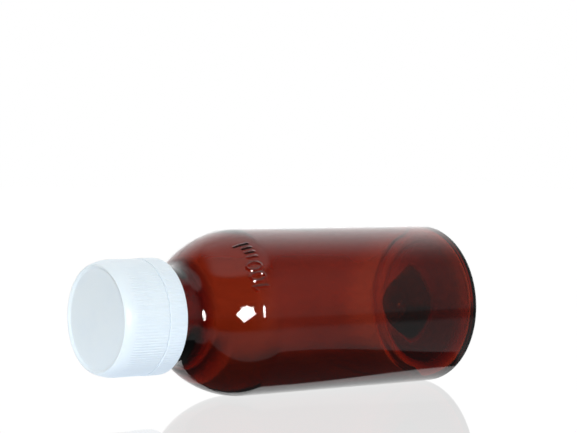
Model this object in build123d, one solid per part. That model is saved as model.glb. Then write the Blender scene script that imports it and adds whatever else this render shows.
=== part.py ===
# Round amber medicine bottle, 100 ml, lying on its side with its screw cap on.
# Everything is drawn standing up, with t (mm) along Z from the base plane to the top of the cap,
# and is laid down at the end: the axis along X, the base at +X, the cap at -X, the floor at z = 0.
import os
from math import cos, radians, sin

from build123d import *

# bottle
overall_length = 110.3
body_radius = 22.0
wall = 0.8
heel_radius = 1.2
straight_top = 68.0
shoulder_length = 18.6
shoulder_end_radius = 10.1
shoulder_power = 1.7
shoulder_used = 0.9
foot_inner_radius = 17.0
push_up = 3.0
base_centre_wall = 2.4
base_arch = (0.55, 0.72)  # shares of radius and height where the base's arc passes
inner_arch_lift = 0.2
inner_groove_radius = 17.6
inner_heel_height = 4.0

# neck
neck_radius = 12.6
neck_bottom = 88.2
rim_top = 107.4
bore_radius = 10.8
bead_radius = 13.9
bead_bottom = 95.0
bead_top = 96.9
bead_run_in = 0.4
bead_bevel = 0.2
bead_slope = 1.1
rim_bevel = 0.3
past_rim = 1.0

# screw thread, right-handed, one start
lead = 3.18
turns = 1.5
neck_thread_start = 99.6
cap_thread_start = 98.7
neck_crest_radius = 13.6
cap_crest_radius = 12.95
ridge_root_width = 1.7
ridge_crest_width = 0.7
ridge_overlap = 0.1

# cap and tamper band
cap_height = 17.86
band_height = 5.15
slit = 0.12
cap_radius = 14.78
band_step = 0.13
cap_inner_radius = 13.85
top_corner_height = 5.1
rim_crest_radius = 13.5
rim_round = 0.45
recess_depth = 0.5
recess_radius = 12.6
top_plate = 1.4
knurl_count = 120
knurl_height = 0.18
knurl_bevel = 0.4
knurl_top_gap = 2.3
knurl_crest_share = 0.12  # half of the crest's width, in pitches
knurl_foot_share = 0.42
knurl_sink = 0.05
knurl_ring_depth = 0.6
corner_slope = -0.5
plate_bevel = (0.5, 0.8)
mouth_bevel = (0.2, 0.3)
band_inner_radius = 14.2
hook_radius = 13.2
hook_height = 1.2
hook_drop = 0.6
hook_ramp = 0.6
band_edge_bevel = 0.15
band_knurl_gap = 0.45

# bridges left on the band
bridge_count = 12
bridge_angle = 3.0
bridge_height = 0.7
bridge_depth = 0.2

# liner
liner_radius = 13.0
liner_gap = 0.02

# raised level line, capacity number and graduation ticks on the shoulder
mark_height = 4.5
mark_relief = 0.3
mark_stroke = 0.75
mark_centre = 73.3
digit_width = 3.0
flag_length = 1.4
flag_angle = 45
flag_shift = 0.55
flag_drop = 0.75
level_line = (3.0, 0.5)  # length round the bottle and width
level_line_angle = 5.5
mark_angles = {"one": 22.5, "nought_low": 30.0, "nought_high": 38.5}
tick_angles = {46.5: 0.6, 51.0: 0.6, 55.5: 0.6, 60.0: 1.0}

mouth = overall_length - cap_height
band_top = mouth + band_height
cap_bottom = band_top + slit
plate_under = overall_length - recess_depth - top_plate


def shoulder_radius(t):
    """Radius of the outside of the shoulder at height t: a superellipse from the body to the neck."""
    share = (t - straight_top) / shoulder_length
    fall = (1 - share**shoulder_power) ** (1 / shoulder_power)
    return shoulder_end_radius + (body_radius - shoulder_end_radius) * fall


def shoulder_slope(t, step=0.01):
    return (shoulder_radius(t + step) - shoulder_radius(t - step)) / (2 * step)


def turned(outline):
    """The solid that an outline of (radius, t) lines turns about the axis."""
    return revolve(Plane.XZ * make_face(outline), Axis.Z)


def shoulder_lines(inset):
    """Shoulder and the hollow curve into the neck, moved inwards by inset."""
    end = straight_top + shoulder_used * shoulder_length
    steps = 5
    heights = [straight_top + (end - straight_top) * i / steps for i in range(steps + 1)]
    points = [(shoulder_radius(t) - inset, t) for t in heights]
    slope = shoulder_slope(end)
    neck_point = ((neck_radius if inset == 0 else bore_radius), neck_bottom)
    shoulder = Spline(points, tangents=[(0, 1), (slope, 1)])
    hollow = Spline([points[-1], neck_point], tangents=[(slope, 1), (0, 1)])
    return shoulder + hollow


def bottle_outside():
    """Filled outside shape: foot ring, push-up, heel, body, shoulder, neck and locking bead."""
    foot_outer = body_radius - heel_radius
    arch = (foot_inner_radius * base_arch[0], push_up * base_arch[1])
    push_up_arc = ThreePointArc((0, push_up), arch, (foot_inner_radius, 0))
    foot = Line((foot_inner_radius, 0), (foot_outer, 0))
    heel = RadiusArc((foot_outer, 0), (body_radius, heel_radius), -heel_radius)
    side = Line((body_radius, heel_radius), (body_radius, straight_top))
    neck = Polyline(
        (neck_radius, neck_bottom),
        (neck_radius, bead_bottom - bead_run_in),
        (bead_radius - bead_bevel, bead_bottom),
        (bead_radius, bead_bottom + bead_bevel),
        (bead_radius, bead_top - bead_slope),
        (neck_radius, bead_top),
        (neck_radius, rim_top - rim_bevel),
        (neck_radius - rim_bevel, rim_top),
        (0, rim_top),
        (0, push_up),
    )
    return turned(push_up_arc + foot + heel + side + shoulder_lines(0) + neck)


def bottle_inside():
    """The hollow: base, body, shoulder and neck bore, open through the rim."""
    base_top = push_up + base_centre_wall
    inner_radius = body_radius - wall
    groove = (inner_groove_radius, wall)
    heel_top = (inner_radius, inner_heel_height)
    arch = (inner_groove_radius * base_arch[0], base_top * base_arch[1] + inner_arch_lift)
    base_arc = ThreePointArc((0, base_top), arch, groove)
    heel = Spline([groove, heel_top], tangents=[(1, -0.1), (0, 1)])
    side = Line(heel_top, (inner_radius, straight_top))
    neck = Polyline(
        (bore_radius, neck_bottom),
        (bore_radius, rim_top + past_rim),
        (0, rim_top + past_rim),
        (0, base_top),
    )
    return turned(base_arc + heel + side + shoulder_lines(wall) + neck)


def ridge(root_radius, crest_radius, start):
    """Helical thread ridge of trapezoid section from root_radius to crest_radius."""
    sink = ridge_overlap if crest_radius > root_radius else -ridge_overlap
    helix = Helix(pitch=lead, height=turns * lead, radius=root_radius)
    section = Polyline(
        (-sink, -ridge_root_width / 2),
        (crest_radius - root_radius, -ridge_crest_width / 2),
        (crest_radius - root_radius, ridge_crest_width / 2),
        (-sink, ridge_root_width / 2),
        close=True,
    )
    plane = Plane(origin=helix @ 0, x_dir=(1, 0, 0), z_dir=helix % 0)
    swept = sweep(plane * make_face(section), path=helix, is_frenet=True)
    return Pos(0, 0, start) * swept


def raised_mark(shape, angle):
    """A flat shape (x across, y up) pushed out through the shoulder at an angle, cut to the relief."""
    reach = body_radius + 2
    plane = Plane(origin=(0, 0, mark_centre), x_dir=(0, 1, 0), z_dir=(1, 0, 0))
    column = extrude(plane * shape, amount=reach)
    return Rot(0, 0, angle) * column


def marks():
    """Level line, the number 100 and four ticks, as columns before they are cut to the relief."""
    outer = Ellipse(digit_width / 2, mark_height / 2)
    nought = outer - Ellipse(digit_width / 2 - mark_stroke, mark_height / 2 - mark_stroke)
    flag_place = Pos(-flag_shift, mark_height / 2 - flag_drop) * Rot(0, 0, flag_angle)
    flag = flag_place * Rectangle(flag_length, mark_stroke)
    one = Rectangle(mark_stroke, mark_height) + flag
    found = [
        raised_mark(Rectangle(*level_line), row_angle(level_line_angle)),
        raised_mark(one, row_angle(mark_angles["one"])),
        raised_mark(nought, row_angle(mark_angles["nought_low"])),
        raised_mark(nought, row_angle(mark_angles["nought_high"])),
    ]
    for angle, share in tick_angles.items():
        tick = Pos(0, -mark_height / 2 * (1 - share)) * Rectangle(mark_stroke, mark_height * share)
        found.append(raised_mark(tick, row_angle(angle)))
    return found


def row_angle(elevation):
    """Turn about the standing axis that puts a mark at this elevation on the -Y side once laid down."""
    return elevation - 90


def relief_skin():
    """Shell between the wall's middle and the marks' faces, over the marks' height."""
    low = mark_centre - mark_height
    high = mark_centre + mark_height
    steps = 4
    heights = [low + (high - low) * i / steps for i in range(steps + 1)]
    outer = [(surface_radius(t) + mark_relief, t) for t in heights]
    inner = [(surface_radius(t) - wall / 2, t) for t in heights]
    edge = Spline(outer) + Line(outer[-1], inner[-1]) + Spline(inner) + Line(inner[0], outer[0])
    return turned(edge)


def surface_radius(t):
    return body_radius if t <= straight_top else shoulder_radius(t)


def bottle():
    shell = bottle_outside() + ridge(neck_radius, neck_crest_radius, neck_thread_start)
    skin = relief_skin()
    for column in marks():
        shell = shell + (column & skin)
    return shell - bottle_inside()


def knurls(low, high, root_radius):
    """Ring of straight knurls between two heights, with bevelled ends."""
    crest = root_radius + knurl_height
    base_radius = root_radius - knurl_sink
    pitch = 360 / knurl_count
    tooth = (
        (crest, -knurl_crest_share),
        (crest, knurl_crest_share),
        (base_radius, knurl_foot_share),
        (base_radius, 1 - knurl_foot_share),
    )
    points = []
    for i in range(knurl_count):
        for radius, part in tooth:
            angle = radians((i + part) * pitch)
            points.append((radius * cos(angle), radius * sin(angle)))
    ring = make_face(Polyline(*points, close=True)) - Circle(base_radius - knurl_ring_depth)
    prism = Pos(0, 0, low) * extrude(ring, amount=high - low)
    envelope = turned(
        Polyline(
            (0, low),
            (base_radius, low),
            (crest + 0.01, low + knurl_bevel),
            (crest + 0.01, high - knurl_bevel),
            (base_radius, high),
            (0, high),
            close=True,
        )
    )
    return prism & envelope


def cap_blank():
    """Cap without thread and knurls: round wall, soft top corner, raised rim, recessed top, hollow."""
    corner_low = overall_length - top_corner_height
    rim_outer = (rim_crest_radius + rim_round, overall_length - rim_round)
    corner = Spline([(cap_radius, corner_low), rim_outer], tangents=[(0, 1), (corner_slope, 1)])
    rim = RadiusArc(rim_outer, (rim_crest_radius, overall_length), -rim_round)
    recess = Spline(
        [(rim_crest_radius, overall_length), (recess_radius, overall_length - recess_depth)],
        tangents=[(-1, 0), (-1, 0)],
    )
    rest = Polyline(
        (recess_radius, overall_length - recess_depth),
        (0, overall_length - recess_depth),
        (0, plate_under),
        (cap_inner_radius - plate_bevel[0], plate_under),
        (cap_inner_radius, plate_under - plate_bevel[1]),
        (cap_inner_radius, cap_bottom + mouth_bevel[1]),
        (cap_inner_radius + mouth_bevel[0], cap_bottom),
        (cap_radius, cap_bottom),
        (cap_radius, corner_low),
    )
    return turned(corner + rim + recess + rest)


def cap():
    offset = cap_thread_start - (neck_thread_start - lead / 2)
    thread = Rot(0, 0, 360 * offset / lead) * ridge(cap_inner_radius, cap_crest_radius, cap_thread_start)
    grip = knurls(cap_bottom, overall_length - knurl_top_gap, cap_radius)
    return cap_blank() + thread + grip


def tamper_band():
    """Ring left under the cap: a knurled wall with a hook under the bottle's locking bead."""
    outer = cap_radius + band_step
    hook_bottom = mouth + hook_drop
    hook_top = hook_bottom + hook_height
    wall_ring = turned(
        Polyline(
            (band_inner_radius, band_top),
            (band_inner_radius, hook_top + hook_ramp),
            (hook_radius, hook_top),
            (hook_radius, hook_bottom),
            (band_inner_radius, mouth),
            (outer - band_edge_bevel, mouth),
            (outer, mouth + band_edge_bevel),
            (outer, band_top),
            close=True,
        )
    )
    return wall_ring + knurls(mouth + band_knurl_gap, band_top, outer)


def bridges():
    """Parted bridges: twelve short ribs on the inside of the band, up to the slit."""
    section = Plane.XZ * (
        Pos(band_inner_radius - bridge_depth / 2, band_top - bridge_height / 2)
        * Rectangle(bridge_depth, bridge_height)
    )
    rib = revolve(section, Axis.Z, revolution_arc=bridge_angle)
    return Compound([Rot(0, 0, 360 * i / bridge_count) * rib for i in range(bridge_count)])


def liner():
    thickness = plate_under - rim_top - liner_gap
    return Pos(0, 0, rim_top + liner_gap) * extrude(Circle(liner_radius), amount=thickness)


def laid_down(standing):
    """Lays a standing shape on the floor: t along -X, base plane at half the length on +X."""
    return Pos(overall_length / 2, 0, body_radius) * Rot(0, -90, 0) * standing


os.makedirs("parts", exist_ok=True)
pieces = {
    "bottle": bottle(),
    "screw_cap": cap(),
    "tamper_band": tamper_band(),
    "bridges": bridges(),
    "liner": liner(),
}
for name, shape in pieces.items():
    export_step(laid_down(shape), f"parts/{name}.step")
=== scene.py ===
# Looks for the amber medicine bottle: every visible piece is rebuilt here at full detail
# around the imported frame, laid down as the frame lies: cap towards -X, base towards +X.
import math

import bpy
import numpy as np
from mathutils import Matrix, Vector


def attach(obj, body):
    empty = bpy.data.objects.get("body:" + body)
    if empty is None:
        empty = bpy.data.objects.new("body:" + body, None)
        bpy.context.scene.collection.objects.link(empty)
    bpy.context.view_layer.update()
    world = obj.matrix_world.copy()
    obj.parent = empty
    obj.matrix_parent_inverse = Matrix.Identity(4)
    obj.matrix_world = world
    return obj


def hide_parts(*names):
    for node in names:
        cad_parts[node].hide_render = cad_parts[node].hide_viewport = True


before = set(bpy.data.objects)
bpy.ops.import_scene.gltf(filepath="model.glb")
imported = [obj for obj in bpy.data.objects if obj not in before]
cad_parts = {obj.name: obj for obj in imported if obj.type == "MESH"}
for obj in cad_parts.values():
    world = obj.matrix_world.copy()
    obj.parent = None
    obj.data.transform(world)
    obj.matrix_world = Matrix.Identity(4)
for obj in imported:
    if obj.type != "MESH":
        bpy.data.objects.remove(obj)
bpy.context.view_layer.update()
mm = 0.001
black = (0.0, 0.0, 0.0)
white = (1.0, 1.0, 1.0)

# driving sizes of the turned shapes, in mm, the same as the frame's: t is the height above the base
shape = {
    "halfLength": 55.15,
    "bodyRadius": 22.0,
    "heelRadius": 1.2,
    "straightTop": 68.0,
    "shoulderLength": 18.6,
    "shoulderEndRadius": 10.1,
    "shoulderPower": 1.7,
    "shoulderUsed": 0.9,
    "neckRadius": 12.6,
    "neckBottom": 88.2,
    "rimTop": 107.4,
    "boreRadius": 10.8,
    "lead": 3.18,
    "markRadius": 21.2,
}

axisHeight = shape["bodyRadius"] * mm
middleRadius = 0.3  # turned discs are closed by a small fan inside this radius


class Wire:
    # wraps a socket, so that shader maths reads as ordinary expressions on values
    def __init__(self, tree, socket):
        self.tree = tree
        self.socket = socket

    def math(self, operation, other, swap=False):
        node = self.tree.nodes.new("ShaderNodeMath")
        node.operation = operation
        inputs = [other, self] if swap else [self, other]
        for slot, value in zip(node.inputs, inputs):
            plug(self.tree, slot, value)
        return Wire(self.tree, node.outputs[0])

    def __add__(self, other):
        return self.math("ADD", other)

    def __radd__(self, other):
        return self.math("ADD", other)

    def __sub__(self, other):
        return self.math("SUBTRACT", other)

    def __rsub__(self, other):
        return self.math("SUBTRACT", other, swap=True)

    def __mul__(self, other):
        return self.math("MULTIPLY", other)

    def __rmul__(self, other):
        return self.math("MULTIPLY", other)

    def maximum(self, other):
        return self.math("MAXIMUM", other)


class Graph:
    # a node tree with one method for every other kind of node
    def __init__(self, tree):
        self.tree = tree
        tree.nodes.clear()

    def node(self, kind, settings=None, values=None, output=0):
        made = self.tree.nodes.new("ShaderNode" + kind)
        for name, value in (settings or {}).items():
            setattr(made, name, value)
        for name, value in (values or {}).items():
            plug(self.tree, made.inputs[name], value)
        return Wire(self.tree, made.outputs[output])

    def smooth(self, value, low, high, outLow=0.0, outHigh=1.0):
        # smooth step of a value from low to high
        return self.node("MapRange", {"interpolation_type": "SMOOTHSTEP"},
                         {"Value": value, "From Min": low, "From Max": high,
                          "To Min": outLow, "To Max": outHigh})

    def mixColour(self, factor, first, second):
        return self.node("Mix", {"data_type": "RGBA"}, {0: factor, 6: first, 7: second}, output=2)


def plug(tree, slot, value):
    if isinstance(value, Wire):
        tree.links.new(value.socket, slot)
    elif isinstance(value, (tuple, list)) and len(value) == 3 and slot.type == "RGBA":
        slot.default_value = (*value, 1.0)
    else:
        slot.default_value = value


def newMaterial(name):
    material = bpy.data.materials.new(name)
    material.use_nodes = True
    return material, Graph(material.node_tree)


def finishMaterial(graph, surface, volume=None):
    output = graph.tree.nodes.new("ShaderNodeOutputMaterial")
    plug(graph.tree, output.inputs["Surface"], surface)
    if volume is not None:
        plug(graph.tree, output.inputs["Volume"], volume)


def smoothStep(value, low, high):
    share = np.clip((value - low) / (high - low), 0.0, 1.0)
    return share * share * (3.0 - 2.0 * share)


def between(value, spans):
    # rises from 0 to 1 over the first span and falls back over the second
    return smoothStep(value, *spans[0]) * (1.0 - smoothStep(value, *spans[1]))


def arcRun(centre, radii, start, end, count):
    # points of an elliptic arc in (radius, t), angles in degrees from +radius towards +t
    angles = np.radians(np.linspace(start, end, count))
    return np.column_stack([centre[0] + radii[0] * np.cos(angles), centre[1] + radii[1] * np.sin(angles)])


def straightRun(start, end, step):
    count = max(2, int(math.ceil(math.dist(start, end) / step)) + 1)
    return np.linspace(start, end, count)


def bendRun(start, startSlope, end, endSlope, count):
    # cubic from start to end that leaves and arrives along the given slopes
    share = np.linspace(0.0, 1.0, count)[:, None]
    reach = math.dist(start, end)
    a, b = np.array(start, float), np.array(end, float)
    m = np.array(startSlope, float) / np.linalg.norm(startSlope) * reach
    n = np.array(endSlope, float) / np.linalg.norm(endSlope) * reach
    return ((2 * share**3 - 3 * share**2 + 1) * a + (share**3 - 2 * share**2 + share) * m
            + (3 * share**2 - 2 * share**3) * b + (share**3 - share**2) * n)


def joinRuns(*runs):
    # one list of (radius, t) points, without the points that two runs share
    points = [runs[0]]
    for run in runs[1:]:
        repeated = np.allclose(run[0], points[-1][-1], atol=1e-6)
        points.append(run[1:] if repeated else run)
    return np.vstack(points)


def offsetRun(run, depth):
    # the run moved to its left-hand side (inwards for a run that climbs), by a depth for each point
    along = np.gradient(run, axis=0)
    along /= np.linalg.norm(along, axis=1)[:, None]
    left = np.column_stack([-along[:, 1], along[:, 0]])
    return run + left * np.asarray(depth)[:, None]


def evenAngles(count):
    return np.arange(count) * 360.0 / count


def layDown(radius, t, angle):
    # standing (radius, t, angle in degrees up from the -Y side) to the lying frame, in metres
    turn = np.radians(angle)
    x = shape["halfLength"] - t
    y = -radius * np.cos(turn)
    z = shape["bodyRadius"] + radius * np.sin(turn)
    return np.stack([x + 0 * y, y, z], axis=-1) * mm


def latheMesh(name, radius, t, angles, poles=False):
    # closed turned mesh from grids of radius and t: rows are profile points, columns are angles
    rows, columns = radius.shape
    points = layDown(radius, t, angles[None, :]).reshape(-1, 3)
    index = np.arange(rows * columns).reshape(rows, columns)
    lower, upper = index[:-1], index[1:]
    if not poles:
        lower, upper = index, np.roll(index, -1, axis=0)
    quads = np.stack([lower, np.roll(lower, -1, axis=1), np.roll(upper, -1, axis=1), upper], axis=-1)
    faces = quads.reshape(-1, 4).tolist()
    if poles:
        first, last = len(points), len(points) + 1
        ends = layDown(np.zeros(2), np.array([t[0].mean(), t[-1].mean()]), np.zeros(2))
        points = np.vstack([points, ends])
        bottom, top = index[0], index[-1]
        faces += [[first, b, a] for a, b in zip(bottom, np.roll(bottom, -1))]
        faces += [[last, a, b] for a, b in zip(top, np.roll(top, -1))]
    mesh = bpy.data.meshes.new(name)
    mesh.from_pydata(points.tolist(), [], faces)
    mesh.update()
    return addPiece(name, mesh)


def addPiece(name, mesh):
    piece = bpy.data.objects.new(name, mesh)
    bpy.context.scene.collection.objects.link(piece)
    mesh.shade_smooth()
    return piece


def threadRelief(angles, t, thread, height, lead):
    # height field of a one-start thread ridge with faded ends
    relief = np.zeros(np.broadcast(angles, t).shape)
    first = (angles - thread["startAngle"]) % 360.0
    for turn in range(int(math.ceil(thread["turns"])) + 1):
        run = (first + 360.0 * turn) / 360.0
        middle = thread["start"] + lead * run
        half = np.abs(t - middle)
        ridge = smoothStep(-half, -thread["rootHalf"], -thread["crestHalf"])
        runIn = smoothStep(run, 0.0, thread["fade"])
        runOut = smoothStep(-run, -thread["turns"], thread["fade"] - thread["turns"])
        relief = np.maximum(relief, ridge * runIn * runOut)
    return relief * height


amberLook = {
    "ior": 1.57,
    "absorb": (737.0, 2007.0, 2847.0),  # per metre of plastic, red green blue
    "roughness": 0.002,
    "smudge": 0.012,
    "smudgeSpan": (0.45, 0.75),
    "waviness": 0.012,
}

whiteLook = {
    "colour": (0.79, 0.885, 0.955),
    "deep": (0.765, 0.865, 0.945),
    "deepSpan": (0.4, 0.7),
    "roughness": 0.36,
    "smoother": 0.04,
    "rougher": 0.06,
    "roughSpan": (0.35, 0.7),
    "bandSheen": 0.02,  # the band is this much rougher than the cap in its smooth patches
    "subsurface": 0.25,
    "depth": 0.0016,  # metres that light travels inside the plastic
}

foamLook = {"colour": (0.78, 0.79, 0.78), "cellColour": (0.70, 0.71, 0.70), "roughness": 0.75}


def amberMaterial():
    material, graph = newMaterial("amberPlastic")
    place = graph.node("TexCoord", output=3)
    smudge = graph.node("TexNoise", None, {"Vector": place, "Scale": 90.0, "Detail": 4.0})
    ripple = graph.node("TexNoise", None, {"Vector": place, "Scale": 140.0, "Detail": 1.5})
    bump = graph.node("Bump", None, {"Strength": amberLook["waviness"], "Distance": mm, "Height": ripple})
    rough = graph.smooth(smudge, *amberLook["smudgeSpan"], amberLook["roughness"], amberLook["smudge"])
    surface = graph.node("BsdfPrincipled", None, {
        "Base Color": white, "Roughness": rough, "IOR": amberLook["ior"],
        "Transmission Weight": 1.0, "Normal": bump})
    density = max(amberLook["absorb"])
    tint = tuple(1.0 - one / density for one in amberLook["absorb"])
    volume = graph.node("VolumeAbsorption", None, {"Color": tint, "Density": density})
    finishMaterial(graph, surface, volume)
    return material


def whiteMaterial(name, sheen=0.0):
    material, graph = newMaterial(name)
    place = graph.node("TexCoord", output=3)
    cloud = graph.node("TexNoise", None, {"Vector": place, "Scale": 120.0, "Detail": 3.0})
    grain = graph.node("TexNoise", None, {"Vector": place, "Scale": 2600.0, "Detail": 2.0})
    isDeep = graph.smooth(cloud, *whiteLook["deepSpan"])
    colour = graph.mixColour(isDeep, whiteLook["colour"], whiteLook["deep"])
    roughness = whiteLook["roughness"]
    rough = graph.smooth(cloud, *whiteLook["roughSpan"], roughness - whiteLook["smoother"] + sheen,
                         roughness + whiteLook["rougher"])
    bump = graph.node("Bump", None, {"Strength": 0.12, "Distance": 0.00004, "Height": grain})
    surface = graph.node("BsdfPrincipled", None, {
        "Base Color": colour, "Roughness": rough, "IOR": 1.49, "Normal": bump,
        "Subsurface Weight": whiteLook["subsurface"], "Subsurface Radius": (1.0, 0.9, 0.8),
        "Subsurface Scale": whiteLook["depth"]})
    finishMaterial(graph, surface)
    return material


def foamMaterial():
    material, graph = newMaterial("linerFoam")
    place = graph.node("TexCoord", output=3)
    cells = graph.node("TexVoronoi", None, {"Vector": place, "Scale": 2400.0})
    bump = graph.node("Bump", None, {"Strength": 0.5, "Distance": 0.0001, "Height": cells})
    tone = graph.mixColour(cells, foamLook["colour"], foamLook["cellColour"])
    surface = graph.node("BsdfPrincipled", None, {
        "Base Color": tone, "Roughness": foamLook["roughness"], "Normal": bump})
    finishMaterial(graph, surface)
    return material


bottleParts = {
    "footInner": 17.0,
    "pushUp": 3.0,
    "footRound": 0.6,
    "footBend": 1.3,
    "domePower": 2.2,
    "gateRadius": 1.6,
    "gateTip": 0.5,
    "gateBore": 0.15,
    "gateHeight": 0.5,
    "footHeight": 8.0,  # the base and its inside lie below this
    "innerMiddle": 0.1,
    "centreExtra": 5.4,  # extra thickness of the unstretched middle of the base
    "centreFlat": 6.0,
    "centreEnd": 11.5,
    "centreShift": 2.2,
    "centrePower": 1.5,
    "baseWall": 2.3,
    "baseLean": 1.1,  # the base is thicker towards one side
    "baseLeanSpan": (3.0, 12.0),
    "baseThinning": 1.3,
    "baseRise": 4.5,
    "baseEnd": 20.2,  # radius where the inside turns up round the heel
    "heelTop": 2.3,
    "heelWall": 0.75,
    "bodyWall": 1.07,
    "shoulderWall": 0.88,
    "neckSideWall": 3.2,
    "heelSpan": (5.0, 16.0),  # heights between which one thickness becomes the next
    "shoulderSpan": (66.0, 74.0),
    "neckSpan": (83.5, 88.0),
    "neckLean": 1.1,  # the wall below the neck is thicker on the lower side
    "neckLeanSpans": ((79.0, 83.0), (87.0, 91.0)),
    "neckLeanTurn": (0.1, 0.8),  # how far below the axis it starts and is full, as shares of the radius
    "hollowDrop": 2.2,  # the inside leaves the shoulder this far below the neck's bottom
    "boreRise": 1.5,
    "beadRadius": 13.9,
    "beadBottom": 95.0,
    "beadTop": 96.9,
    "beadRunIn": 0.5,
    "beadRound": 0.35,
    "beadSlope": (-0.35, 1.0),
    "rimRound": 0.4,
    "lipRound": 0.5,
    "relief": 0.26,
    "glyphHeight": 4.5,
    "glyphWidth": 3.0,
    "stroke": 0.75,
    "stem": 0.1,
    "flag": (-0.85, 0.75),
    "bevel": 0.5,
    "bevelOut": 0.18,
    "glyphPlace": 73.3,
    "markReach": 4.0,  # no mark is farther than this from the row's middle
    "markInner": 15.0,  # or nearer the axis than this
    "digits": ((22.5, "one"), (30.0, "nought"), (38.5, "nought")),
    "ticks": ((46.5, 0.6), (51.0, 0.6), (55.5, 0.6), (60.0, 1.0)),
    "levelLine": {"angle": 5.5, "length": 3.2, "half": 0.55, "height": 0.45, "place": -0.3},
    "waviness": 0.025,
    "waveSpans": ((3.0, 12.0), (80.0, 88.0)),
    "waveInner": (8.0, 12.0),
    "waveLength": 26.0,
    "wavesAround": 5,
    "waves": 9,
    "waveSeed": 4,
    "seam": 0.05,
    "seamHalf": 0.6,
    "seamSpans": ((2.0, 6.0), (90.0, 94.0)),
    "seamAngles": (100.0, 280.0),
    "seamSteps": (-0.9, -0.5, -0.25, 0.0, 0.25, 0.5, 0.9),  # columns at each seam, in degrees
    "seamClear": 1.2,
    "markAngles": (0.0, 64.0),
    "markClear": 0.5,
    "coarseStep": 1.5,
    "fineStep": 0.3,
}

neckThread = {"start": 99.6, "turns": 1.5, "startAngle": -90.0, "rootHalf": 0.85, "crestHalf": 0.3,
              "fade": 0.1, "height": 1.0}


def shoulderRun(count):
    # superellipse shoulder from the body to where the neck's hollow begins
    end = shape["straightTop"] + shape["shoulderUsed"] * shape["shoulderLength"]
    t = np.linspace(shape["straightTop"], end, count)
    share = (t - shape["straightTop"]) / shape["shoulderLength"]
    fall = (1.0 - share ** shape["shoulderPower"]) ** (1.0 / shape["shoulderPower"])
    radius = shape["shoulderEndRadius"] + (shape["bodyRadius"] - shape["shoulderEndRadius"]) * fall
    return np.column_stack([radius, t])


def bottleOutside():
    # a straight run ends with its step in mm, a curved one with its number of points
    look = bottleParts
    body = shape["bodyRadius"]
    heel = shape["heelRadius"]
    foot = look["footInner"]
    gateRun = np.linspace(look["gateBore"], look["gateRadius"], 9)
    gateFall = 1.0 - smoothStep(gateRun, look["gateTip"], look["gateRadius"])
    gate = np.column_stack([gateRun, look["pushUp"] - look["gateHeight"] * gateFall])
    domeRadius = np.linspace(look["gateRadius"], foot - look["footRound"], 40)
    dome = np.column_stack([domeRadius, look["pushUp"] * (1.0 - (domeRadius / foot) ** look["domePower"])])
    footStart = foot + look["footBend"]
    ring = bendRun(tuple(dome[-1]), tuple(dome[-1] - dome[-2]), (footStart, 0.0), (1.0, 0.0), 10)
    flat = straightRun((footStart, 0.0), (body - heel, 0.0), 0.4)
    corner = arcRun((body - heel, heel), (heel, heel), -90.0, 0.0, 16)
    side = straightRun((body, heel), (body, shape["straightTop"]), 1.0)
    shoulder = shoulderRun(150)
    slope = shoulder[-1] - shoulder[-2]
    neckWide, rimTop = shape["neckRadius"], shape["rimTop"]
    hollow = bendRun(tuple(shoulder[-1]), tuple(slope), (neckWide, shape["neckBottom"]), (0.0, 1.0), 22)
    bead, beadRound, rimRound = look["beadRadius"], look["beadRound"], look["rimRound"]
    beadStart = look["beadBottom"] - look["beadRunIn"]
    low = straightRun((neckWide, shape["neckBottom"]), (neckWide, beadStart), 0.5)
    under = bendRun(tuple(low[-1]), (0.0, 1.0), (bead - beadRound, look["beadBottom"]), (1.0, 0.0), 8)
    nose = arcRun((bead - beadRound, look["beadBottom"] + beadRound), (beadRound, beadRound), -90.0, 0.0, 8)
    upper = bendRun(tuple(nose[-1]), (0.0, 1.0), (neckWide, look["beadTop"]), look["beadSlope"], 12)[1:]
    neck = straightRun((neckWide, look["beadTop"]), (neckWide, rimTop - rimRound), 0.1)
    rim = arcRun((neckWide - rimRound, rimTop - rimRound), (rimRound, rimRound), 0.0, 90.0, 7)
    return joinRuns(gate, dome, ring, flat, corner, side, shoulder, hollow, low, under, nose, upper,
                    neck, rim)


def baseDepth(radius):
    # thickness of the base, thinner towards the heel
    look = bottleParts
    rise = smoothStep(radius, look["baseEnd"] - look["baseRise"], look["baseEnd"])
    return look["baseWall"] - look["baseThinning"] * rise


def unevenBase(radius, t, angles):
    # extra thickness of the base: a thick patch a little off the middle, and a lean to one side
    look = bottleParts
    turn = np.radians(angles)
    across = np.abs(radius * np.cos(turn) + look["centreShift"])
    upward = np.abs(radius * np.sin(turn))
    away = (across ** look["centrePower"] + upward ** look["centrePower"]) ** (1.0 / look["centrePower"])
    middle = 1.0 - smoothStep(away, look["centreFlat"], look["centreEnd"])
    rise = smoothStep(radius, look["baseEnd"] - look["baseRise"], look["baseEnd"])
    lean = look["baseLean"] * np.cos(turn) * smoothStep(radius, *look["baseLeanSpan"]) * (1.0 - rise)
    return (look["centreExtra"] * middle + lean) * (t < look["footHeight"])


def sideDepth(t):
    # thickness of the wall above the heel: thinnest where the bottle was stretched most
    look = bottleParts
    side = look["heelWall"] + (look["bodyWall"] - look["heelWall"]) * smoothStep(t, *look["heelSpan"])
    side = side + (look["shoulderWall"] - look["bodyWall"]) * smoothStep(t, *look["shoulderSpan"])
    return side + (look["neckSideWall"] - look["shoulderWall"]) * smoothStep(t, *look["neckSpan"])


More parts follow.
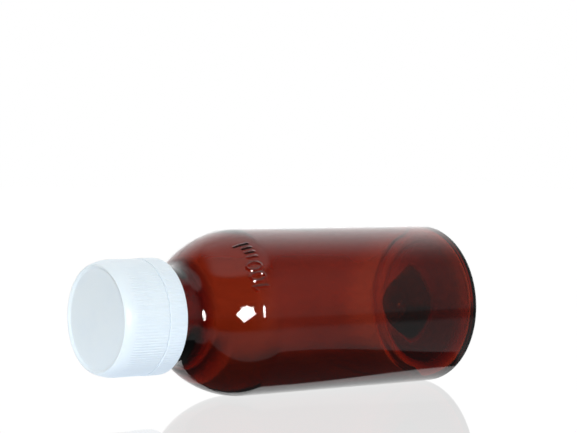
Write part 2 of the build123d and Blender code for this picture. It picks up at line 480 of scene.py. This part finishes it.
def bottleInside(outside):
    # the hollow's surface from the neck's rim down to the middle of the base
    look = bottleParts
    foot = outside[(outside[:, 1] <= look["pushUp"]) & (outside[:, 0] < look["baseEnd"])]
    base = offsetRun(foot, baseDepth(foot[:, 0]))
    base[0, 0] = max(base[0, 0], look["innerMiddle"])
    isPastFoot = np.arange(len(outside)) > np.argmax(outside[:, 0])
    shellTop = shape["neckBottom"] - look["hollowDrop"]
    isShell = isPastFoot & (outside[:, 1] > look["heelTop"]) & (outside[:, 1] < shellTop)
    shell = outside[isShell]
    hollow = offsetRun(shell, sideDepth(shell[:, 1]))
    heel = bendRun(tuple(base[-1]), (1.0, 0.0), tuple(hollow[0]), (0.0, 1.0), 18)
    neckStart = shape["neckBottom"] + look["boreRise"]
    boreWide, lipRound = shape["boreRadius"], look["lipRound"]
    lipStart = shape["rimTop"] - lipRound
    join = bendRun(tuple(hollow[-1]), tuple(hollow[-1] - hollow[-2]), (boreWide, neckStart), (0.0, 1.0), 16)
    bore = straightRun((boreWide, neckStart), (boreWide, lipStart), 1.0)
    lip = arcRun((boreWide + lipRound, lipStart), (lipRound, lipRound), 180.0, 90.0, 7)
    return joinRuns(base, heel, hollow, join, bore, lip)[::-1]


def strokeRelief(u, v):
    # share of the full relief for the number, the ticks and the level line, u across and v up, in mm
    look = bottleParts
    half = look["stroke"] / 2.0
    tall = look["glyphHeight"] / 2.0
    gap = np.full(np.broadcast(u, v).shape, np.inf)

    def segment(centre, start, end):
        px, py = u - centre - start[0], v - start[1]
        dx, dy = end[0] - start[0], end[1] - start[1]
        share = np.clip((px * dx + py * dy) / (dx * dx + dy * dy), 0.0, 1.0)
        return np.hypot(px - share * dx, py - share * dy)

    for angle, kind in look["digits"]:
        centre = math.radians(angle) * shape["markRadius"]
        if kind == "one":
            stem, (flagAcross, flagDown) = look["stem"], look["flag"]
            gap = np.minimum(gap, segment(centre, (stem, half - tall), (stem, tall - half)))
            gap = np.minimum(gap, segment(centre, (stem, tall - half), (flagAcross, tall - half - flagDown)))
        else:
            wide = look["glyphWidth"] / 2.0 - half
            high = tall - half
            spread = np.hypot((u - centre) / wide, v / high)
            flat = np.hypot((u - centre) / wide**2, v / high**2) / np.maximum(spread, 1e-6)
            gap = np.minimum(gap, np.abs(spread - 1.0) / np.maximum(flat, 1e-6))
    for angle, share in look["ticks"]:
        centre = math.radians(angle) * shape["markRadius"]
        tickTop = half - tall + (look["glyphHeight"] - 2 * half) * share
        gap = np.minimum(gap, segment(centre, (0.0, half - tall), (0.0, tickTop)))
    strokes = np.clip((half + look["bevelOut"] - gap) / look["bevel"], 0.0, 1.0)
    line = look["levelLine"]
    centre = math.radians(line["angle"]) * shape["markRadius"]
    reach = line["length"] / 2.0
    away = segment(centre, (-reach, line["place"]), (reach, line["place"]))
    return np.maximum(strokes, np.clip(line["height"] * (1.0 - away / line["half"]), 0.0, 1.0))


def bottleAngles():
    # columns: close together across the raised number and at the mould seams, even elsewhere
    look = bottleParts
    first, last = look["markAngles"]
    coarse = np.arange(-90.0, 270.0, look["coarseStep"])
    fine = np.arange(first, last, look["fineStep"])
    seams = [angle + step for angle in look["seamAngles"] for step in look["seamSteps"]]
    keep = coarse[(coarse < first - look["markClear"]) | (coarse > last + look["markClear"])]
    for seam in look["seamAngles"]:
        isClear = np.minimum(np.abs(keep - seam), np.abs(keep + 360.0 - seam)) > look["seamClear"]
        keep = keep[isClear]
    angles = np.concatenate([keep, fine, [((angle + 90.0) % 360.0) - 90.0 for angle in seams]])
    return np.sort(angles)


def wallWave(angles, t):
    # slow uneven swell, a sum of a few waves with fixed random places
    look = bottleParts
    chance = np.random.default_rng(look["waveSeed"])
    around = look["wavesAround"]
    total = np.zeros(np.broadcast(angles, t).shape)
    for _ in range(look["waves"]):
        turns = chance.integers(-around, around + 1)
        along = chance.uniform(-1.0, 1.0) * 2.0 * math.pi / look["waveLength"]
        crests = np.cos(np.radians(angles) * turns + t * along + chance.uniform(0.0, 6.28))
        total = total + crests / math.sqrt(look["waves"])
    return total


def makeBottle():
    look = bottleParts
    outside = bottleOutside()
    inside = bottleInside(outside)
    angles = bottleAngles()
    radius = np.repeat(outside[:, :1], len(angles), axis=1)
    t = np.repeat(outside[:, 1:], len(angles), axis=1)
    u = np.radians(angles)[None, :] * shape["markRadius"]
    v = t - look["glyphPlace"]
    nearMark = (np.abs(v) < look["markReach"]) & (radius > look["markInner"])
    relief = np.where(nearMark, strokeRelief(u, v), 0.0) * look["relief"]
    slope = np.gradient(outside, axis=0)
    slope /= np.linalg.norm(slope, axis=1)[:, None]
    radius = radius + relief * slope[:, 1:]
    t = t - relief * slope[:, :1]
    onNeck = (outside[:, 1] > look["beadTop"]) & (outside[:, 0] > shape["neckRadius"] - 0.01)
    thread = threadRelief(angles[None, :], t, neckThread, neckThread["height"], shape["lead"])
    radius = radius + np.where(onNeck[:, None], thread, 0.0)
    onSide = between(outside[:, 1], look["seamSpans"])
    for seam in look["seamAngles"]:
        away = np.abs((angles - seam + 180.0) % 360.0 - 180.0)
        ridge = look["seam"] * (1.0 - smoothStep(away, 0.0, look["seamHalf"]))
        radius = radius + ridge[None, :] * onSide[:, None]
    innerRadius = np.repeat(inside[:, :1], len(angles), axis=1)
    innerT = np.repeat(inside[:, 1:], len(angles), axis=1)
    innerT = innerT + unevenBase(innerRadius, innerT, angles[None, :])
    swell = between(innerT, look["waveSpans"]) * smoothStep(innerRadius, *look["waveInner"])
    swell = swell * wallWave(angles[None, :], innerT)
    innerRadius = innerRadius + look["waviness"] * swell
    nearNeck = between(innerT, look["neckLeanSpans"])
    lower = smoothStep(-np.sin(np.radians(angles)), *look["neckLeanTurn"])
    innerRadius = innerRadius - look["neckLean"] * nearNeck * lower[None, :]
    radius, t = np.vstack([radius, innerRadius]), np.vstack([t, innerT])
    piece = latheMesh("bottleShell", radius, t, angles, poles=True)
    piece.data.materials.append(amberMaterial())
    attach(piece, "bottle")
    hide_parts("bottle")
    print("bottle made:", len(piece.data.polygons), "faces")
    return piece


capParts = {
    "mouth": 92.44,
    "bandTop": 97.59,
    "slit": 0.03,
    "radius": 14.78,
    "bandStep": 0.13,
    "innerRadius": 13.85,
    "edgeRound": 0.12,
    "mouthBevel": (0.25, 0.3),
    "seatRound": 0.8,
    "cornerHeight": 5.1,
    "crestRadius": 13.5,
    "crestRound": 0.45,
    "crestSlope": (-0.5, 1.0),
    "recessDepth": 0.5,
    "recessRadius": 12.6,
    "plateUnder": 108.4,
    "top": 110.3,
    "knurls": 120,
    "knurlHeight": 0.09,
    "knurlCrest": (0.1, 0.8),
    "knurlStart": 0.5,
    "knurlEnd": 0.9,
    "knurlTop": 108.0,
    "columnsPerKnurl": 6,
}

capThread = {"start": 98.7, "turns": 1.5, "startAngle": -12.0, "rootHalf": 0.85, "crestHalf": 0.3,
             "fade": 0.1, "height": 0.9}


def knurlRelief(angles, t, low, high):
    # rounded ridges with bevelled ends
    look = capParts
    place = (angles * look["knurls"] / 360.0) % 1.0
    ridge = smoothStep(0.5 + 0.5 * np.cos(2.0 * math.pi * place), *look["knurlCrest"])
    ends = between(t, ((low, low + look["knurlStart"]), (high - look["knurlEnd"], high)))
    return look["knurlHeight"] * ridge * ends


def capProfile():
    look = capParts
    low = look["bandTop"] + look["slit"]
    wall, edgeRound, slope = look["radius"], look["edgeRound"], look["crestSlope"]
    corner = look["top"] - look["cornerHeight"]
    crestOuter = (look["crestRadius"] + look["crestRound"], look["top"] - look["crestRound"])
    crestTop = (look["crestRadius"], look["top"])
    edge = arcRun((wall - edgeRound, low + edgeRound), (edgeRound, edgeRound), -90.0, 0.0, 5)
    side = straightRun((wall, low + edgeRound), (wall, corner), 0.25)
    bend = bendRun((wall, corner), (0.0, 1.0), crestOuter, slope, 26)
    crest = bendRun(crestOuter, slope, crestTop, (-1.0, 0.0), 8)
    discTop = look["top"] - look["recessDepth"]
    recess = bendRun(crestTop, (-1.0, 0.0), (look["recessRadius"], discTop), (-1.0, 0.0), 10)
    disc = straightRun((look["recessRadius"], discTop), (middleRadius, discTop), 0.8)
    outer = joinRuns(edge, side, bend, crest, recess, disc)
    bore, seat, seatRound = look["innerRadius"], look["plateUnder"], look["seatRound"]
    bevelAcross, bevelUp = look["mouthBevel"]
    inner = joinRuns(
        straightRun((middleRadius, seat), (bore - seatRound, seat), 1.2),
        arcRun((bore - seatRound, seat - seatRound), (seatRound, seatRound), 90.0, 0.0, 7),
        straightRun((bore, seat - seatRound), (bore, low + bevelUp), 0.12),
        straightRun((bore, low + bevelUp), (bore + bevelAcross, low), 0.2))
    return outer, inner


def makeCap(material):
    look = capParts
    outer, inner = capProfile()
    angles = evenAngles(look["knurls"] * look["columnsPerKnurl"])
    low = look["bandTop"] + look["slit"]
    knurls = knurlRelief(angles[None, :], outer[:, 1:], low, look["knurlTop"])
    outerRadius = outer[:, :1] + knurls * (outer[:, :1] > look["innerRadius"])
    outerT = np.repeat(outer[:, 1:], len(angles), axis=1)
    innerT = np.repeat(inner[:, 1:], len(angles), axis=1)
    onWall = inner[:, :1] > look["innerRadius"] - 0.01
    thread = threadRelief(angles[None, :], innerT, capThread, capThread["height"], shape["lead"])
    innerRadius = inner[:, :1] - np.where(onWall, thread, 0.0)
    # one run: from the middle of the liner's seat down the inside, round the lower edge, up to the disc
    radius = np.vstack([innerRadius, outerRadius])
    t = np.vstack([innerT, outerT])
    piece = latheMesh("screwCap", radius, t, angles, poles=True)
    piece.data.materials.append(material)
    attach(piece, "cap")
    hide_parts("screw_cap")
    print("cap made:", len(piece.data.polygons), "faces")
    return piece


bandParts = {
    "innerRadius": 14.2,
    "edgeRound": 0.15,
    "topRound": 0.1,
    "hookRadius": 13.2,
    "hookHeight": 1.2,
    "hookDrop": 0.6,
    "hookRound": 0.3,
    "hookRise": 0.6,
    "hookFoot": 0.2,
    "knurlInset": 0.45,
    "knurlPast": 0.3,  # the ridges run out above the band's top edge
}


def makeBand(material):
    look = capParts
    band = bandParts
    outer = look["radius"] + look["bandStep"]
    low, high = look["mouth"], look["bandTop"]
    hookLow = low + band["hookDrop"]
    hookHigh = hookLow + band["hookHeight"]
    inner, hook = band["innerRadius"], band["hookRadius"]
    edgeRound, topRound, hookRound = band["edgeRound"], band["topRound"], band["hookRound"]
    hookStart, hookFoot = hookHigh + band["hookRise"], hookLow + band["hookFoot"]
    profile = joinRuns(
        arcRun((outer - edgeRound, low + edgeRound), (edgeRound, edgeRound), -90.0, 0.0, 6),
        straightRun((outer, low + edgeRound), (outer, high - topRound), 0.12),
        arcRun((outer - topRound, high - topRound), (topRound, topRound), 0.0, 90.0, 4),
        straightRun((outer - topRound, high), (inner, high), 0.3),
        straightRun((inner, high), (inner, hookStart), 0.5),
        bendRun((inner, hookStart), (0.0, -1.0), (hook, hookHigh), (-1.0, -0.6), 7),
        arcRun((hook + hookRound, hookHigh - hookRound), (hookRound, hookRound), 120.0, 180.0, 4),
        straightRun((hook, hookHigh - hookRound), (hook, hookFoot), 0.3),
        bendRun((hook, hookFoot), (0.0, -1.0), (inner, low), (0.8, -0.4), 7),
    )
    angles = evenAngles(look["knurls"] * look["columnsPerKnurl"])
    radius = np.repeat(profile[:, :1], len(angles), axis=1)
    outerSide = profile[:, :1] > outer - 0.02
    knurlLow, knurlHigh = low + band["knurlInset"], high + band["knurlPast"]
    radius = radius + knurlRelief(angles[None, :], profile[:, 1:], knurlLow, knurlHigh) * outerSide
    t = np.repeat(profile[:, 1:], len(angles), axis=1)
    piece = latheMesh("tamperBand", radius, t, angles)
    piece.data.materials.append(material)
    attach(piece, "band")
    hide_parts("tamper_band")
    print("tamper band made:", len(piece.data.polygons), "faces")
    return piece


bridgeParts = {
    "count": 12,
    "angle": 3.0,
    "height": 0.7,
    "depth": 0.2,
    "thinning": 0.55,
    "root": 0.05,  # how far each pad reaches into the band's wall
    "columns": 7,
    "rows": 6,
}


def makeBridges(material):
    # short parted ribs on the band's inner wall, each a pad that thins towards its parted top
    look = bridgeParts
    top = capParts["bandTop"]
    inner = bandParts["innerRadius"]
    points, faces = [], []
    across = np.linspace(0.0, 1.0, look["columns"])
    up = np.linspace(0.0, 1.0, look["rows"])
    for start in evenAngles(look["count"]):
        first = len(points)
        for isFront in (True, False):
            for rise in up:
                depth = look["depth"] * (1.0 - look["thinning"] * rise**2)
                for side in across:
                    bulge = depth * (1.0 - (2.0 * side - 1.0) ** 4)
                    reach = inner - bulge if isFront else inner + look["root"]
                    height = top - look["height"] * (1.0 - rise)
                    points.append(layDown(reach, height, start + look["angle"] * side).tolist())
        faces += padFaces(first, len(up), len(across))
    mesh = bpy.data.meshes.new("bridgeStubs")
    mesh.from_pydata(points, [], faces)
    mesh.update()
    piece = addPiece("bridgeStubs", mesh)
    piece.data.materials.append(material)
    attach(piece, "band")
    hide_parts("bridges")
    print("bridges made:", len(faces), "faces")
    return piece


def padFaces(first, rows, columns):
    # two grids, front and back, stitched round their edges into one closed pad
    faces = []
    back = first + rows * columns

    def at(base, row, column):
        return base + row * columns + column

    for row in range(rows - 1):
        for column in range(columns - 1):
            quad = [(row, column), (row, column + 1), (row + 1, column + 1), (row + 1, column)]
            faces.append([at(first, *spot) for spot in quad])
            faces.append([at(back, *spot) for spot in reversed(quad)])
    ring = [(0, c) for c in range(columns)] + [(r, columns - 1) for r in range(1, rows)]
    ring += [(rows - 1, c) for c in range(columns - 2, -1, -1)] + [(r, 0) for r in range(rows - 2, 0, -1)]
    for spot, after in zip(ring, ring[1:] + ring[:1]):
        faces.append([at(first, *after), at(first, *spot), at(back, *spot), at(back, *after)])
    return faces


linerParts = {
    "radius": 13.0,
    "bottom": 107.42,
    "top": 108.38,
    "fillet": 0.18,
    "ringRadius": 11.7,
    "ringHalf": 0.7,
    "ringDepth": 0.06,
    "columns": 180,
}


def makeLiner():
    look = linerParts
    fillet = look["fillet"]
    top, bottom, edge = look["top"], look["bottom"], look["radius"]
    lower = straightRun((middleRadius, bottom), (edge - fillet, bottom), 0.4)
    # mark left by the bottle's rim
    away = (lower[:, 0] - look["ringRadius"]) / look["ringHalf"]
    lower[:, 1] += np.exp(-away ** 2) * look["ringDepth"]
    profile = joinRuns(
        lower,
        arcRun((edge - fillet, bottom + fillet), (fillet, fillet), -90.0, 0.0, 5),
        straightRun((edge, bottom + fillet), (edge, top - fillet), 0.3),
        arcRun((edge - fillet, top - fillet), (fillet, fillet), 0.0, 90.0, 5),
        straightRun((edge - fillet, top), (middleRadius, top), 1.0),
    )
    angles = evenAngles(look["columns"])
    radius = np.repeat(profile[:, :1], len(angles), axis=1)
    t = np.repeat(profile[:, 1:], len(angles), axis=1)
    piece = latheMesh("foamLiner", radius, t, angles, poles=True)
    piece.data.materials.append(foamMaterial())
    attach(piece, "lift")
    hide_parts("liner")
    print("liner made:", len(piece.data.polygons), "faces")
    return piece


# places on the floor are in metres, the world's spans are cosines of the direction
studio = {
    "backdrop": 1.34,
    "backdropSpan": (0.12, 0.90),
    "dark": 0.06,
    "grey": 0.25,
    "greySpan": (0.45, 0.85),
    "horizonSpan": (-0.10, -0.05),
    "belowHorizon": 0.5,
    "overhead": 0.54,
    "overheadSpan": (0.77, 0.87),
    "overheadSide": (-0.55, -0.25),
    "floorSize": 8.0,
    "floorColour": (0.80, 0.81, 0.83),
    "paintedThroughShade": (0.68, 0.68, 0.69),  # the same floor as seen through the bottle, painted darker as its shade
    "paintedFloorShadow": (0.14, 0.14, 0.15),  # painted shadow on the floor close beside the bottle, seen through it
    "shadeReach": (0.02, 0.11),
    "floorGlow": 0.925,  # brightness of the floor where it is seen directly
    "floorGloss": 0.2,
    "floorRoughness": 0.03,
    "paintedFrontReflection": 0.29,  # painted brightness of the floor in the bottle's reflections
    # painted shadow under the bottle and painted light along its low edge, seen only in its reflections
    "paintedUnderShadow": 0.05,
    "paintedLowLightTone": 0.8,
    "tableEdge": (-0.087, -0.063),  # the table ends here, in front of the bottle
    "tableSkew": 0.035,
    "tableSkewSpan": (-0.09, 0.0),
    # where the painted shadow under the bottle begins, bulging out along the bottle
    "underEdge": (-0.0215, -0.0205),
    "underBulge": 0.009,
    "bulgeRise": (-0.028, 0.004),
    "bulgeFall": (0.008, 0.062),
    # where the painted light behind the bottle's low edge begins, widening towards the base end
    "paintedLowLightMask": (-0.0005, 0.0005),
    "lowStart": 0.0055,
    "lowNear": 0.015,
    "lowNearSpan": (-0.030, -0.008),
    "lowFar": 0.003,
    "lowFarSpan": (0.0, 0.055),
    "bounce": (1.22, 1.28, 1.38),
    "warmBounce": (1.05, 1.0, 0.92),
    "bounceSpan": (-0.13, -0.05),
    "bounceShare": 0.85,
    "endEdge": (0.058, 0.062),
    "farGloss": (0.08, 0.35),
    "nearGloss": 0.02,
    "moreGloss": 0.40,
}

viewFrom = {
    "place": (-297.45, -392.75, 60.17),  # mm
    "look": (0.61054, 0.79155, -0.02621),
    "roll": 0.0093,
    "lens": 114.83,
    "sensor": 36.0,
    "clip": (0.01, 50.0),
}


def makeFloor():
    half = studio["floorSize"] / 2.0
    mesh = bpy.data.meshes.new("studioFloor")
    corners = [(-half, -half, 0), (half, -half, 0), (half, half, 0), (-half, half, 0)]
    mesh.from_pydata(corners, [], [(0, 1, 2, 3)])
    floor = bpy.data.objects.new("studioFloor", mesh)
    bpy.context.scene.collection.objects.link(floor)
    material, graph = newMaterial("glossyWhite")
    place = graph.node("NewGeometry", output=0)
    along = graph.node("SeparateXYZ", None, {"Vector": place}, output=0)
    depth = graph.node("SeparateXYZ", None, {"Vector": place}, output=1)
    direct = graph.node("LightPath", output=0)
    through = graph.node("LightPath", output=6)
    scattered = graph.node("LightPath", output=2)
    mirrored = graph.node("LightPath", output=5) * (1.0 - scattered)

    # painted reflections: in the bottle's reflections the floor is painted grey in front, with a dark
    # painted shadow under the bottle that stops past its end, and painted light behind its low edge
    bulge = graph.smooth(along, *studio["bulgeRise"]) * (1.0 - graph.smooth(along, *studio["bulgeFall"]))
    paintedShadowUnder = graph.smooth(depth + bulge * studio["underBulge"], *studio["underEdge"])
    paintedShadowUnder = paintedShadowUnder * (1.0 - graph.smooth(along, *studio["endEdge"]))
    widening = graph.smooth(along, *studio["lowNearSpan"]) * studio["lowNear"]
    widening = widening + graph.smooth(along, *studio["lowFarSpan"]) * studio["lowFar"]
    paintedLowLightMask = graph.smooth(depth + widening - studio["lowStart"], *studio["paintedLowLightMask"])
    tone = studio["paintedFrontReflection"] + paintedShadowUnder * (studio["paintedUnderShadow"] - studio["paintedFrontReflection"])
    tone = tone + paintedLowLightMask * (studio["paintedLowLightTone"] - studio["paintedUnderShadow"])
    tone = graph.mixColour(mirrored * tone + direct * studio["floorGlow"], black, white)
    bounce = graph.smooth(along, *studio["bounceSpan"])
    bounce = graph.mixColour(bounce, studio["warmBounce"], studio["bounce"])
    glow = graph.node("Emission", None, {
        "Color": graph.mixColour(scattered, tone, bounce), "Strength": 1.0})

    # painted shade: seen through the bottle the floor is painted darker, with a painted shadow close beside
    # it
    beside = graph.smooth(depth, *studio["shadeReach"]) + graph.smooth(-1.0 * depth, *studio["shadeReach"])
    throughColour = graph.mixColour(beside, studio["paintedFloorShadow"], studio["paintedThroughShade"])
    matt = graph.node("BsdfDiffuse", None, {
        "Color": graph.mixColour(through, studio["floorColour"], throughColour)})
    painted = mirrored.maximum(direct).maximum(scattered * studio["bounceShare"])
    plain = graph.node("MixShader", None, {0: painted, 1: matt, 2: glow})
    gloss = graph.node("BsdfGlossy", None, {"Color": white, "Roughness": studio["floorRoughness"]})
    far = graph.smooth(depth, *studio["farGloss"])
    share = direct * studio["floorGloss"] + through * (studio["nearGloss"] + far * studio["moreGloss"])
    surface = graph.node("MixShader", None, {0: share, 1: plain, 2: gloss})
    clear = graph.node("BsdfTransparent")
    skew = (1.0 - graph.smooth(along, *studio["tableSkewSpan"])) * studio["tableSkew"]
    beyond = mirrored * (1.0 - graph.smooth(depth - skew, *studio["tableEdge"]))
    surface = graph.node("MixShader", None, {0: beyond, 1: surface, 2: clear})
    finishMaterial(graph, surface)
    mesh.materials.append(material)


def makeWorld():
    # white towards the backdrop and overhead, grey to the right, dark behind the camera
    world = bpy.data.worlds.new("studioWorld")
    bpy.context.scene.world = world
    world.use_nodes = True
    graph = Graph(world.node_tree)
    direction = graph.node("TexCoord", output=0)
    lookX, lookY = viewFrom["look"][0], viewFrom["look"][1]
    back, right, up = (
        graph.node("VectorMath", {"operation": "DOT_PRODUCT"}, {0: direction, 1: axis}, output=1)
        for axis in ((lookX, lookY, 0.0), (lookY, -lookX, 0.0), (0.0, 0.0, 1.0)))
    side = graph.smooth(right, *studio["greySpan"], studio["dark"], studio["grey"])
    side = side * graph.smooth(up, *studio["horizonSpan"], studio["belowHorizon"], 1.0)
    top = graph.smooth(up, *studio["overheadSpan"]) * graph.smooth(right, *studio["overheadSide"])
    front = side.maximum(top * studio["overhead"])
    behind = graph.smooth(back, *studio["backdropSpan"])
    light = front * (1.0 - behind) + behind * studio["backdrop"]
    seenDirectly = graph.node("LightPath", output=0)
    seenThrough = graph.node("LightPath", output=6)
    straight = seenDirectly.maximum(seenThrough)
    seen = (light * (1.0 - straight) + straight) * (1.0 / studio["backdrop"])
    sky = graph.node("Background", None, {
        "Color": graph.mixColour(seen, black, white), "Strength": studio["backdrop"]})
    output = graph.tree.nodes.new("ShaderNodeOutputWorld")
    plug(graph.tree, output.inputs["Surface"], sky)


def aimAt(thing, target):
    away = thing.location - Vector(target)
    thing.rotation_euler = away.to_track_quat("Z", "Y").to_euler()


def addLamp(name, place, target, size, sizeY, power):
    data = bpy.data.lights.new(name, "AREA")
    data.shape = "RECTANGLE"
    data.size = size
    data.size_y = sizeY
    data.energy = power
    lamp = bpy.data.objects.new(name, data)
    bpy.context.scene.collection.objects.link(lamp)
    lamp.location = place
    aimAt(lamp, target)
    lamp.visible_camera = False
    lamp.visible_transmission = False
    return lamp


def placeByAngles(azimuth, elevation, distance):
    # azimuth in degrees from -Y towards +X
    a, e = math.radians(azimuth), math.radians(elevation)
    flat = distance * math.cos(e)
    return (flat * math.sin(a), -flat * math.cos(a), distance * math.sin(e) + axisHeight)


lamps = {
    "key": {"azimuth": -17.0, "elevation": 2.3, "distance": 1.0, "size": 0.32, "sizeY": 0.27, "turn": 42.0,
            "power": 5.5},
    "flank": {"azimuth": -15.0, "elevation": 7.5, "distance": 1.0, "size": 0.26, "sizeY": 0.14, "turn": 0.0,
              "power": 2.3},
    "target": (-0.025, 0.0, axisHeight),
    "sun": {"azimuth": -37.0, "elevation": 33.0, "distance": 2.0, "power": 2.4, "spread": 14.0},
}


def makeLights():
    # two softboxes that show only as the glint, and a high soft light from the front left
    for name in ("key", "flank"):
        box = lamps[name]
        place = placeByAngles(box["azimuth"], box["elevation"], box["distance"])
        lamp = addLamp(name + "Softbox", place, lamps["target"], box["size"], box["sizeY"], box["power"])
        lamp.rotation_euler.rotate_axis("Z", math.radians(box["turn"]))
        lamp.visible_diffuse = False
    sun = lamps["sun"]
    data = bpy.data.lights.new("highLight", "SUN")
    data.energy = sun["power"]
    data.angle = math.radians(sun["spread"])
    high = bpy.data.objects.new("highLight", data)
    bpy.context.scene.collection.objects.link(high)
    high.location = placeByAngles(sun["azimuth"], sun["elevation"], sun["distance"])
    aimAt(high, (0.0, 0.0, axisHeight))
    high.visible_glossy = False
    high.visible_transmission = False


def makeCamera():
    data = bpy.data.cameras.new("viewCamera")
    data.lens = viewFrom["lens"]
    data.sensor_width = viewFrom["sensor"]
    data.sensor_fit = "HORIZONTAL"
    data.clip_start, data.clip_end = viewFrom["clip"]
    camera = bpy.data.objects.new("viewCamera", data)
    bpy.context.scene.collection.objects.link(camera)
    camera.location = Vector(viewFrom["place"]) * mm
    turn = (-Vector(viewFrom["look"])).to_track_quat("Z", "Y").to_matrix().to_4x4()
    camera.rotation_euler = (turn @ Matrix.Rotation(viewFrom["roll"], 4, "Z")).to_euler()
    bpy.context.scene.camera = camera


makeCamera()
makeFloor()
makeWorld()
makeLights()
print("studio made")
bpy.context.scene.view_settings.view_transform = "Standard"

makeBottle()
whitePlastic = whiteMaterial("capPlastic")
bandPlastic = whiteMaterial("bandPlastic", sheen=whiteLook["bandSheen"])
makeCap(whitePlastic)
makeBand(bandPlastic)
makeBridges(bandPlastic)
makeLiner()
